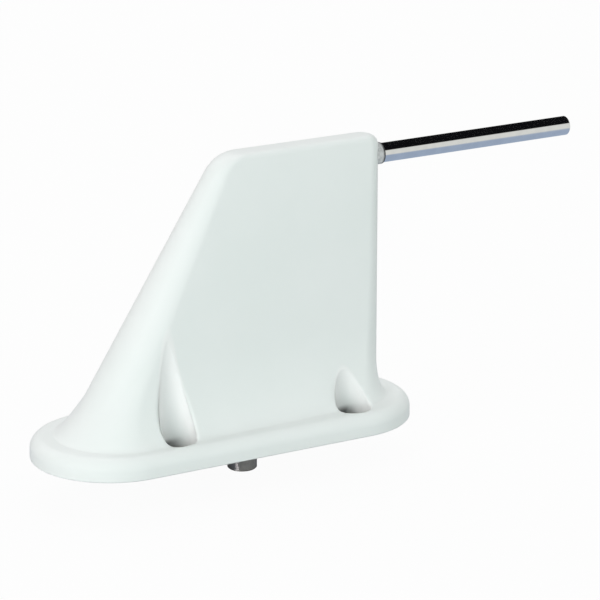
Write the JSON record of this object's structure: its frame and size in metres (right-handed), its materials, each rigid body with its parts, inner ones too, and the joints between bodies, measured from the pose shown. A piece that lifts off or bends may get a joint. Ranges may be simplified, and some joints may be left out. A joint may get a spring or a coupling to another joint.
{
  "type": "aircraft blade antenna",
  "caption": "Swept blade antenna for an aircraft skin: hollow white moulding on a flanged foot with screw pockets, a polished rod aft of its top and a bayonet coax jack underneath.",
  "frame": {"origin": "on the mounting face, at the centre of the mounting screws and on the jack's axis", "axes": "+X aft along the rod, +Z out of the aircraft's skin along the mounting screws, +Y to complete a right-handed frame"},
  "size_m": [0.1979, 0.0524, 0.1053],
  "materials": {
    "white_paint": "gloss paint",
    "plate_metal": "satin",
    "seal": "matt",
    "screw_steel": "satin",
    "jack_metal": "nickel plate",
    "insulator": "matt",
    "contact_metal": "gold plate",
    "board": "satin",
    "coil_copper": "bright wire",
    "chip": "matt",
    "sheet_brass": "satin",
    "rod_polish": "mirror polish",
    "collar": "satin"
  },
  "bodies": {
    "root": {"radome": "white_paint", "base_plate": "plate_metal", "base_o_ring": "seal", "cover_screws": "screw_steel", "jack_gasket": "seal", "jack_body": "jack_metal", "jack_insulator": "insulator", "jack_contact": "contact_metal", "jack_screws": "screw_steel", "board_standoffs": "sheet_brass", "matching_board": "board", "board_screws": "screw_steel", "tuning_coil": "coil_copper", "chip_capacitors": "chip", "radiator_plate": "sheet_brass", "rod": "rod_polish", "rod_rivets": "sheet_brass", "rod_collar": "collar"}
  },
  "joints": []
}
